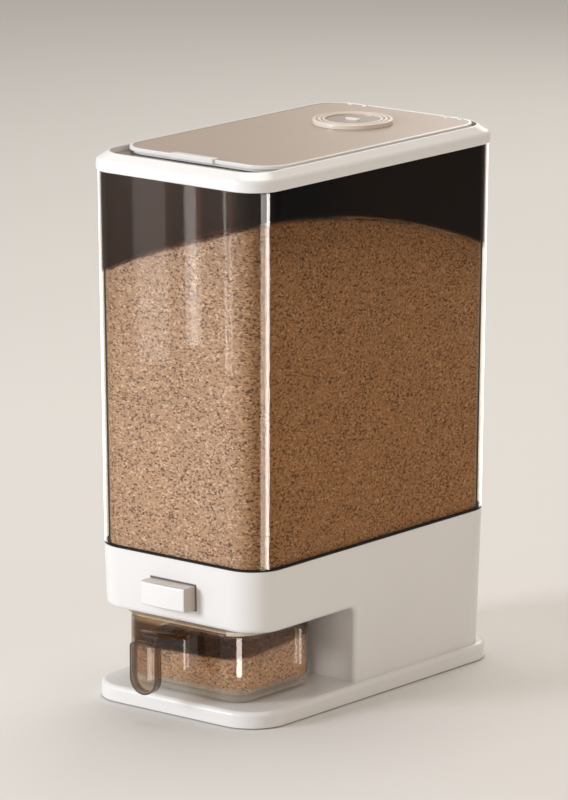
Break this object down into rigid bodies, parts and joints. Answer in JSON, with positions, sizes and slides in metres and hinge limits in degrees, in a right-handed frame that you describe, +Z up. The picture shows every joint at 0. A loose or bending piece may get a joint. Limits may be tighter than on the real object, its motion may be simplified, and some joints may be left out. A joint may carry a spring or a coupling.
{
  "type": "rice dispenser",
  "caption": "Countertop grain dispenser: clear tank on a white base with a push-button gate, a pull-out measuring cup and a flip lid with a date dial.",
  "frame": {"origin": "middle of the whole outline on the floor, the cup's handle included", "axes": "+Z up, -Y towards the front with the button and the cup, +X to the right seen from the front"},
  "size_m": [0.168, 0.323, 0.418],
  "materials": {
    "white_housing": "gloss",
    "white_lid": "gloss",
    "white_inner": "moulded, matt",
    "button_white": "gloss",
    "smoke_clear": "clear smoke-tinted",
    "cup_clear": "clear, slightly tinted",
    "satin_panel": "satin",
    "dial_white": "gloss",
    "dark_seal": "matt",
    "silicone_seal": "matt, translucent",
    "rubber_foot": "matt",
    "steel_screw": "zinc plated",
    "steel_pin": "polished",
    "spring_steel": "drawn wire",
    "drying_agent": "granular"
  },
  "bodies": {
    "stand": {"base_plate": "white_housing", "base_cover": "white_housing", "cover_screws": "steel_screw", "base_feet": "rubber_foot", "housing": "white_housing", "housing_screws": "steel_screw", "hopper": "white_inner", "gate_carrier": "white_inner", "carrier_screws": "steel_screw", "spring_pins": "steel_pin", "return_spring_left": "spring_steel", "return_spring_right": "spring_steel", "tank": "smoke_clear", "tank_gasket": "dark_seal"},
    "button": {"push_button": "button_white", "gate": "white_inner", "button_screws": "steel_screw"},
    "cup": {"cup": "cup_clear"},
    "lid": {"lid_ring": "white_lid", "ring_gasket": "silicone_seal", "hinge_pins": "steel_pin"},
    "panel": {"lid_panel": "satin_panel", "panel_gasket": "silicone_seal", "desiccant_basket": "white_inner", "desiccant_pack": "drying_agent"},
    "dial": {"date_dial": "dial_white"},
    "cap": {"dial_cap": "dial_white"}
  },
  "joints": [
    {"name": "button_press", "type": "slide", "parent": "stand", "child": "button", "axis": [0, 1, 0], "range_m": [0, 0.01], "stiffness_N_per_m": 250, "springref_m": -0.008, "deforming": ["return_spring_left", "return_spring_right"]},
    {"name": "cup_slide", "type": "slide", "parent": "stand", "child": "cup", "axis": [0, -1, 0], "range_m": [0, 0.16]},
    {"name": "lid_lift", "type": "slide", "parent": "stand", "child": "lid", "axis": [0, 0, 1], "range_m": [0, 0.04]},
    {"name": "panel_flip", "type": "hinge", "parent": "lid", "child": "panel", "pos_m": [0, 0.1474, 0.4129], "axis": [-1, 0, 0], "range_deg": [0, 100]},
    {"name": "dial_turn", "type": "hinge", "parent": "panel", "child": "dial", "pos_m": [0, 0.0835, 0.415], "axis": [0, 0, 1], "continuous": true},
    {"name": "cap_turn", "type": "hinge", "parent": "panel", "child": "cap", "pos_m": [0, 0.0835, 0.415], "axis": [0, 0, 1], "range_deg": [0, 60]}
  ]
}
